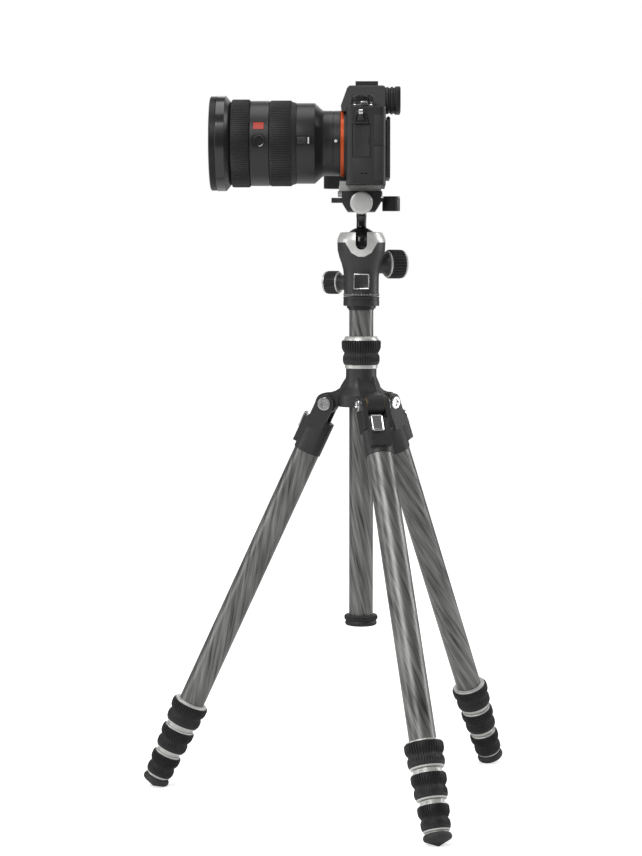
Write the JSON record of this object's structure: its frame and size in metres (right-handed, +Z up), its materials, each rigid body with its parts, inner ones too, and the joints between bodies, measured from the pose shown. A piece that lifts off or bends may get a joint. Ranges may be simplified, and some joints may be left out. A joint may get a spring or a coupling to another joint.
{
  "type": "camera on tripod",
  "caption": "Mirrorless camera with a zoom lens on a four-section carbon travel tripod with a ball head, twist locks, sliding column and dovetail plate clamp.",
  "frame": {"origin": "on the ground, at the centre of the rectangle that the three feet span, with the object standing on its feet", "axes": "+Z up the column, the lens looks towards -X, +Y towards the camera's grip side"},
  "size_m": [0.351, 0.3644, 0.6672],
  "materials": {
    "charcoal_casting": "fine matte powder coat",
    "carbon_tube": "woven carbon fibre under clear satin resin",
    "rubber_grip": "matte ribbed rubber",
    "bright_steel": "turned bright steel",
    "pale_aluminium": "bead-blasted pale anodised aluminium",
    "black_aluminium": "black satin anodised aluminium",
    "ball_black": "gloss black coated ball",
    "dark_chrome": "dark polished chrome",
    "camera_black": "fine textured black paint over magnesium",
    "lens_black": "satin black anodised and painted barrel",
    "mount_orange": "orange anodised ring",
    "glass": "coated optical glass",
    "monitor_glass": "glossy black display cover",
    "electronics": "circuit boards, sensor unit and battery"
  },
  "bodies": {
    "spider": {"apex": "charcoal_casting", "pivot_hardware": "bright_steel"},
    "column": {"column_tube": "carbon_tube", "column_end_cap": "rubber_grip", "head_base": "black_aluminium"},
    "column_lock": {"column_lock": "rubber_grip"},
    "head": {"head_body": "charcoal_casting", "head_trim": "pale_aluminium"},
    "ball": {"ball": "ball_black"},
    "stem": {"ball_stem": "dark_chrome"},
    "ball_lock_knob": {"ball_lock_knob": "rubber_grip"},
    "pan_lock_knob": {"pan_lock_knob": "rubber_grip"},
    "clamp": {"clamp_base": "black_aluminium"},
    "clamp_jaw": {"clamp_jaw": "black_aluminium"},
    "clamp_knob": {"clamp_knob": "pale_aluminium"},
    "camera": {"release_plate": "pale_aluminium", "camera_body": "camera_black", "top_cover": "camera_black", "lens_mount": "mount_orange", "camera_internals": "electronics", "eyecup": "rubber_grip", "lens_barrel": "lens_black"},
    "monitor": {"monitor": "monitor_glass"},
    "drive_dial": {"drive_dial": "camera_black"},
    "mode_dial": {"mode_dial": "camera_black"},
    "exposure_dial": {"exposure_dial": "camera_black"},
    "shutter_button": {"shutter_button": "bright_steel"},
    "terminal_door": {"terminal_door": "camera_black"},
    "strap_ring_left": {"strap_ring_left": "bright_steel"},
    "strap_ring_right": {"strap_ring_right": "bright_steel"},
    "focus_ring": {"focus_ring": "rubber_grip"},
    "zoom_ring": {"zoom_ring": "rubber_grip"},
    "hold_button": {"hold_button": "lens_black"},
    "focus_switch": {"focus_switch": "lens_black"},
    "lens_front": {"lens_front": "lens_black", "lens_glass": "glass"},
    "leg_1": {"leg_1_upper": "carbon_tube"},
    "leg_1_latch": {"leg_1_latch": "bright_steel"},
    "leg_1_lock_1": {"leg_1_lock_1": "rubber_grip"},
    "leg_1_lock_2": {"leg_1_lock_2": "rubber_grip"},
    "leg_1_lock_3": {"leg_1_lock_3": "rubber_grip"},
    "leg_1_section_2": {"leg_1_section_2": "carbon_tube"},
    "leg_1_section_3": {"leg_1_section_3": "carbon_tube"},
    "leg_1_section_4": {"leg_1_section_4": "rubber_grip"},
    "leg_2": {"leg_2_upper": "carbon_tube"},
    "leg_2_latch": {"leg_2_latch": "bright_steel"},
    "leg_2_lock_1": {"leg_2_lock_1": "rubber_grip"},
    "leg_2_lock_2": {"leg_2_lock_2": "rubber_grip"},
    "leg_2_lock_3": {"leg_2_lock_3": "rubber_grip"},
    "leg_2_section_2": {"leg_2_section_2": "carbon_tube"},
    "leg_2_section_3": {"leg_2_section_3": "carbon_tube"},
    "leg_2_section_4": {"leg_2_section_4": "rubber_grip"},
    "leg_3": {"leg_3_upper": "carbon_tube"},
    "leg_3_latch": {"leg_3_latch": "bright_steel"},
    "leg_3_lock_1": {"leg_3_lock_1": "rubber_grip"},
    "leg_3_lock_2": {"leg_3_lock_2": "rubber_grip"},
    "leg_3_lock_3": {"leg_3_lock_3": "rubber_grip"},
    "leg_3_section_2": {"leg_3_section_2": "carbon_tube"},
    "leg_3_section_3": {"leg_3_section_3": "carbon_tube"},
    "leg_3_section_4": {"leg_3_section_4": "rubber_grip"}
  },
  "joints": [
    {"name": "leg_1_spread", "type": "hinge", "parent": "spider", "child": "leg_1", "pos_m": [0.00115, 0.02439, 0.37015], "axis": [0.1857, 0.9826, 0], "range_deg": [-23, 60]},
    {"name": "leg_1_extend_2", "type": "slide", "parent": "leg_1", "child": "leg_1_section_2", "axis": [-0.4153, 0.0785, -0.9063], "range_m": [0, 0.24]},
    {"name": "leg_1_extend_3", "type": "slide", "parent": "leg_1_section_2", "child": "leg_1_section_3", "axis": [-0.4153, 0.0785, -0.9063], "range_m": [0, 0.26]},
    {"name": "leg_1_extend_4", "type": "slide", "parent": "leg_1_section_3", "child": "leg_1_section_4", "axis": [-0.4153, 0.0785, -0.9063], "range_m": [0, 0.26]},
    {"name": "column_slide", "type": "slide", "parent": "spider", "child": "column", "axis": [0, 0, 1], "range_m": [-0.024, 0.19]},
    {"name": "column_lock_twist", "type": "hinge", "parent": "spider", "child": "column_lock", "pos_m": [0.03279, 0.01841, 0.40265], "axis": [0, 0, 1], "range_deg": [0, 90]},
    {"name": "pan", "type": "hinge", "parent": "column", "child": "head", "pos_m": [0.03279, 0.01841, 0.46985], "axis": [0, 0, 1], "continuous": true},
    {"name": "ball_lean", "type": "hinge", "parent": "head", "child": "ball", "pos_m": [0.03279, 0.01841, 0.51765], "axis": [0, 1, 0], "range_deg": [-20, 20]},
    {"name": "ball_drop", "type": "hinge", "parent": "ball", "child": "stem", "pos_m": [0.03279, 0.01841, 0.51765], "axis": [1, 0, 0], "range_deg": [-20, 90]},
    {"name": "clamp_spin", "type": "hinge", "parent": "stem", "child": "clamp", "pos_m": [0.03279, 0.01841, 0.51765], "axis": [0, 0, 1], "continuous": true},
    {"name": "ball_lock_turn", "type": "hinge", "parent": "head", "child": "ball_lock_knob", "pos_m": [0.03279, 0.01841, 0.49965], "axis": [0.9063, 0.4226, 0], "range_deg": [0, 360]},
    {"name": "pan_lock_turn", "type": "hinge", "parent": "head", "child": "pan_lock_knob", "pos_m": [0.03279, 0.01841, 0.48255], "axis": [-0.9063, 0.4226, 0], "range_deg": [0, 360]},
    {"name": "jaw_slide", "type": "slide", "parent": "clamp", "child": "clamp_jaw", "axis": [0, -1, 0], "range_m": [0, 0.004]},
    {"name": "clamp_knob_turn", "type": "hinge", "parent": "clamp_jaw", "child": "clamp_knob", "pos_m": [0.03279, 0.01841, 0.55525], "axis": [0, -1, 0], "range_deg": [0, 1155]},
    {"name": "plate_slide", "type": "slide", "parent": "clamp", "child": "camera", "axis": [1, 0, 0], "range_m": [-0.01, 0.01]},
    {"name": "monitor_tilt", "type": "hinge", "parent": "camera", "child": "monitor", "pos_m": [0.05694, 0.01841, 0.63045], "axis": [0, -1, 0], "range_deg": [0, 85]},
    {"name": "zoom_turn", "type": "hinge", "parent": "camera", "child": "zoom_ring", "pos_m": [0.03279, 0.01841, 0.61085], "axis": [-1, 0, 0], "range_deg": [0, 70.2]},
    {"name": "zoom_extend", "type": "slide", "parent": "camera", "child": "lens_front", "axis": [-1, 0, 0], "range_m": [0, 0.028]},
    {"name": "focus_turn", "type": "hinge", "parent": "camera", "child": "focus_ring", "pos_m": [0.03279, 0.01841, 0.61085], "axis": [-1, 0, 0], "continuous": true},
    {"name": "hold_press", "type": "slide", "parent": "camera", "child": "hold_button", "axis": [0, 1, 0], "range_m": [0, 0.0008], "stiffness_N_per_m": 400},
    {"name": "focus_mode", "type": "slide", "parent": "camera", "child": "focus_switch", "axis": [1, 0, 0], "range_m": [-0.0001, 0.0025]},
    {"name": "shutter_press", "type": "slide", "parent": "camera", "child": "shutter_button", "axis": [0, 0, -1], "range_m": [0, 0.0012], "stiffness_N_per_m": 400},
    {"name": "drive_dial_turn", "type": "hinge", "parent": "camera", "child": "drive_dial", "pos_m": [0.03329, -0.01659, 0.64085], "axis": [0, 0, 1], "continuous": true},
    {"name": "mode_dial_turn", "type": "hinge", "parent": "camera", "child": "mode_dial", "pos_m": [0.03679, 0.05241, 0.64085], "axis": [0, 0, 1], "continuous": true},
    {"name": "exposure_dial_turn", "type": "hinge", "parent": "camera", "child": "exposure_dial", "pos_m": [0.04479, 0.07541, 0.64085], "axis": [0, 0, 1], "range_deg": [-120, 120]},
    {"name": "terminal_door_swing", "type": "hinge", "parent": "camera", "child": "terminal_door", "pos_m": [0.02579, -0.03689, 0.57145], "axis": [0, 0, -1], "range_deg": [0, 100]},
    {"name": "strap_ring_left_swing", "type": "hinge", "parent": "camera", "child": "strap_ring_left", "pos_m": [0.03219, -0.04029, 0.63575], "axis": [-1, 0, 0], "range_deg": [0, 150]},
    {"name": "strap_ring_right_swing", "type": "hinge", "parent": "camera", "child": "strap_ring_right", "pos_m": [0.03219, 0.09211, 0.63575], "axis": [1, 0, 0], "range_deg": [0, 150]},
    {"name": "leg_1_latch_pull", "type": "slide", "parent": "leg_1", "child": "leg_1_latch", "axis": [-0.8905, 0.1683, 0.4226], "range_m": [0, 0.004]},
    {"name": "leg_1_lock_1_twist", "type": "hinge", "parent": "leg_1", "child": "leg_1_lock_1", "pos_m": [0.00249, 0.02414, 0.36952], "axis": [-0.4153, 0.0785, -0.9063], "range_deg": [0, 90]},
    {"name": "leg_1_lock_2_twist", "type": "hinge", "parent": "leg_1_section_2", "child": "leg_1_lock_2", "pos_m": [0.00249, 0.02414, 0.36952], "axis": [-0.4153, 0.0785, -0.9063], "range_deg": [0, 90]},
    {"name": "leg_1_lock_3_twist", "type": "hinge", "parent": "leg_1_section_3", "child": "leg_1_lock_3", "pos_m": [0.00249, 0.02414, 0.36952], "axis": [-0.4153, 0.0785, -0.9063], "range_deg": [0, 90]},
    {"name": "leg_2_spread", "type": "hinge", "parent": "spider", "child": "leg_2", "pos_m": [0.04344, -0.01198, 0.37015], "axis": [-0.9438, -0.3305, 0], "range_deg": [-23, 60]},
    {"name": "leg_2_extend_2", "type": "slide", "parent": "leg_2", "child": "leg_2_section_2", "axis": [0.1397, -0.3989, -0.9063], "range_m": [0, 0.24]},
    {"name": "leg_2_extend_3", "type": "slide", "parent": "leg_2_section_2", "child": "leg_2_section_3", "axis": [0.1397, -0.3989, -0.9063], "range_m": [0, 0.26]},
    {"name": "leg_2_extend_4", "type": "slide", "parent": "leg_2_section_3", "child": "leg_2_section_4", "axis": [0.1397, -0.3989, -0.9063], "range_m": [0, 0.26]},
    {"name": "leg_3_spread", "type": "hinge", "parent": "spider", "child": "leg_3", "pos_m": [0.05379, 0.04283, 0.37015], "axis": [0.7581, -0.6521, 0], "range_deg": [-23, 60]},
    {"name": "leg_3_extend_2", "type": "slide", "parent": "leg_3", "child": "leg_3_section_2", "axis": [0.2756, 0.3204, -0.9063], "range_m": [0, 0.24]},
    {"name": "leg_3_extend_3", "type": "slide", "parent": "leg_3_section_2", "child": "leg_3_section_3", "axis": [0.2756, 0.3204, -0.9063], "range_m": [0, 0.26]},
    {"name": "leg_3_extend_4", "type": "slide", "parent": "leg_3_section_3", "child": "leg_3_section_4", "axis": [0.2756, 0.3204, -0.9063], "range_m": [0, 0.26]},
    {"name": "leg_2_latch_pull", "type": "slide", "parent": "leg_2", "child": "leg_2_latch", "axis": [0.2995, -0.8554, 0.4226], "range_m": [0, 0.004]},
    {"name": "leg_2_lock_1_twist", "type": "hinge", "parent": "leg_2", "child": "leg_2_lock_1", "pos_m": [0.04299, -0.01069, 0.36952], "axis": [0.1397, -0.3989, -0.9063], "range_deg": [0, 90]},
    {"name": "leg_2_lock_2_twist", "type": "hinge", "parent": "leg_2_section_2", "child": "leg_2_lock_2", "pos_m": [0.04299, -0.01069, 0.36952], "axis": [0.1397, -0.3989, -0.9063], "range_deg": [0, 90]},
    {"name": "leg_2_lock_3_twist", "type": "hinge", "parent": "leg_2_section_3", "child": "leg_2_lock_3", "pos_m": [0.04299, -0.01069, 0.36952], "axis": [0.1397, -0.3989, -0.9063], "range_deg": [0, 90]},
    {"name": "leg_3_latch_pull", "type": "slide", "parent": "leg_3", "child": "leg_3_latch", "axis": [0.591, 0.6871, 0.4226], "range_m": [0, 0.004]},
    {"name": "leg_3_lock_1_twist", "type": "hinge", "parent": "leg_3", "child": "leg_3_lock_1", "pos_m": [0.05291, 0.0418, 0.36952], "axis": [0.2756, 0.3204, -0.9063], "range_deg": [0, 90]},
    {"name": "leg_3_lock_2_twist", "type": "hinge", "parent": "leg_3_section_2", "child": "leg_3_lock_2", "pos_m": [0.05291, 0.0418, 0.36952], "axis": [0.2756, 0.3204, -0.9063], "range_deg": [0, 90]},
    {"name": "leg_3_lock_3_twist", "type": "hinge", "parent": "leg_3_section_3", "child": "leg_3_lock_3", "pos_m": [0.05291, 0.0418, 0.36952], "axis": [0.2756, 0.3204, -0.9063], "range_deg": [0, 90]}
  ],
  "couplings": [
    {"joint": "clamp_knob_turn", "follows": "jaw_slide", "rad_per_m": 5026.5},
    {"joint": "zoom_turn", "follows": "zoom_extend", "rad_per_m": 43.633}
  ]
}
